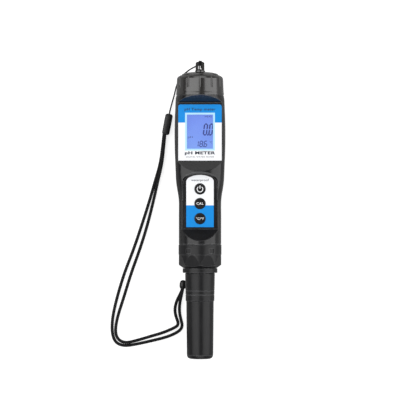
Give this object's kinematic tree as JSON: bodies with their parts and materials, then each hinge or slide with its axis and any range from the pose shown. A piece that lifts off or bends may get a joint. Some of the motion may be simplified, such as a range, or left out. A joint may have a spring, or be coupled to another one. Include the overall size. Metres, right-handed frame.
{
  "type": "ph meter",
  "caption": "Pocket pH and temperature tester on its back, with display, keys, battery cap, collar nut, electrode under a storage cap, and a wrist lanyard.",
  "frame": {"origin": "on the table under the middle of the pen, lanyard not counted", "axes": "+Y along the pen to the battery cap, +Z out of the display, +X to the reader's right"},
  "size_m": [0.0787, 0.2027, 0.0325],
  "materials": {
    "casing_black": "satin moulded",
    "cap_black": "semi gloss moulded",
    "button_black": "gloss with white marks",
    "label_print": "printed white and blue film",
    "window_clear": "clear",
    "lcd_blue": "backlit",
    "white_plastic": "satin",
    "board_green": "solder mask",
    "chip_black": "matt",
    "seal_rubber": "matt",
    "screw_steel": "plated",
    "cell_steel": "bright",
    "contact_brass": "plated",
    "bulb_glass": "clear",
    "junction_ceramic": "porous",
    "epoxy_dark": "satin",
    "sponge_foam": "open cell",
    "cord_black": "woven"
  },
  "bodies": {
    "casing": {"front_casing": "casing_black", "rear_casing": "casing_black", "back_pad": "seal_rubber", "casing_gasket": "seal_rubber", "casing_screws": "screw_steel", "battery_collar": "casing_black", "collar_o_ring": "seal_rubber", "battery_holder": "white_plastic", "button_cells": "cell_steel", "bottom_contact": "contact_brass", "display_label": "label_print", "display_window": "window_clear", "lcd_glass": "lcd_blue", "backlight": "white_plastic", "contact_strip": "seal_rubber", "display_frame": "white_plastic", "main_board": "board_green", "board_chips": "chip_black", "tact_switches": "chip_black", "keypad_mat": "seal_rubber", "keypad_label": "label_print", "probe_socket": "casing_black", "pin_receptacle": "white_plastic"},
    "lanyard": {"lanyard_post": "cap_black", "post_clip": "screw_steel", "lanyard_hitch": "cord_black", "lanyard_string": "cord_black", "lanyard_slider": "cap_black", "strap_outer": "cord_black", "strap_inner": "cord_black", "strap_bead": "cap_black"},
    "battery_cap": {"battery_cap": "cap_black", "contact_spring": "contact_brass"},
    "power_button": {"power_button": "button_black"},
    "cal_button": {"cal_button": "button_black"},
    "unit_button": {"unit_button": "button_black"},
    "probe": {"probe_body": "epoxy_dark", "probe_pins": "contact_brass", "plug_o_ring": "seal_rubber", "probe_flange": "casing_black", "electrode_tube": "epoxy_dark", "glass_bulb": "bulb_glass", "reference_junction": "junction_ceramic", "temperature_sensor": "screw_steel", "bulb_guard": "epoxy_dark", "cap_o_ring": "seal_rubber"},
    "collar_nut": {"collar_nut": "casing_black"},
    "storage_cap": {"storage_cap": "casing_black", "storage_sponge": "sponge_foam"}
  },
  "joints": [
    {"name": "cap_lift", "type": "slide", "parent": "casing", "child": "lanyard", "axis": [0, 1, 0], "range_m": [0, 0.015]},
    {"name": "cap_turn", "type": "hinge", "parent": "lanyard", "child": "battery_cap", "pos_m": [0, 0.085, 0.0163], "axis": [0, 1, 0], "range_deg": [0, 1800]},
    {"name": "power_button_press", "type": "slide", "parent": "casing", "child": "power_button", "axis": [0, 0, -1], "range_m": [0, 0.0005], "stiffness_N_per_m": 1500},
    {"name": "cal_button_press", "type": "slide", "parent": "casing", "child": "cal_button", "axis": [0, 0, -1], "range_m": [0, 0.0005], "stiffness_N_per_m": 1500},
    {"name": "unit_button_press", "type": "slide", "parent": "casing", "child": "unit_button", "axis": [0, 0, -1], "range_m": [0, 0.0005], "stiffness_N_per_m": 1500},
    {"name": "probe_pull", "type": "slide", "parent": "casing", "child": "probe", "axis": [0, -1, 0], "range_m": [0, 0.013]},
    {"name": "nut_turn", "type": "hinge", "parent": "probe", "child": "collar_nut", "pos_m": [0, -0.031, 0.0163], "axis": [0, 1, 0], "continuous": true},
    {"name": "storage_cap_pull", "type": "slide", "parent": "probe", "child": "storage_cap", "axis": [0, -1, 0], "range_m": [0, 0.062]}
  ],
  "couplings": [
    {"joint": "cap_turn", "follows": "cap_lift", "rad_per_m": 2094.4}
  ]
}
